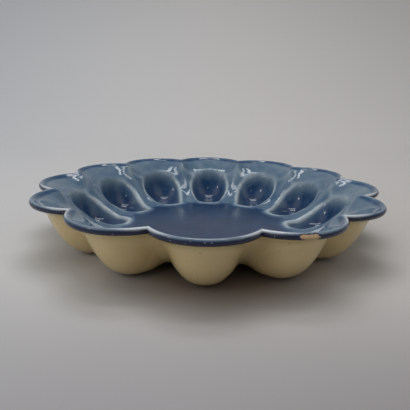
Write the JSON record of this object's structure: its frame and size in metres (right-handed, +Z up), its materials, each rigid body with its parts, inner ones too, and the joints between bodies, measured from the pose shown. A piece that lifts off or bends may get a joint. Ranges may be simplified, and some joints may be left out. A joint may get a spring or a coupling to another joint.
{
  "type": "egg dish",
  "caption": "Round scalloped earthenware serving dish with an egg well in each lobe around a flat middle, glazed blue inside and over its thick lip, and cream outside.",
  "frame": {"origin": "middle of the dish on the table, at the bottom of the foot pads", "axes": "+Z up along the axis of the dish, +X out along the axis of one lobe"},
  "size_m": [0.28, 0.28, 0.044],
  "materials": {
    "clay": "bare fired clay, matt",
    "blue_glaze": "glossy, paler where it runs thin over edges",
    "cream_glaze": "glossy"
  },
  "bodies": {
    "root": {"clay_body": "clay", "blue_glaze": "blue_glaze", "cream_glaze": "cream_glaze"}
  },
  "joints": []
}
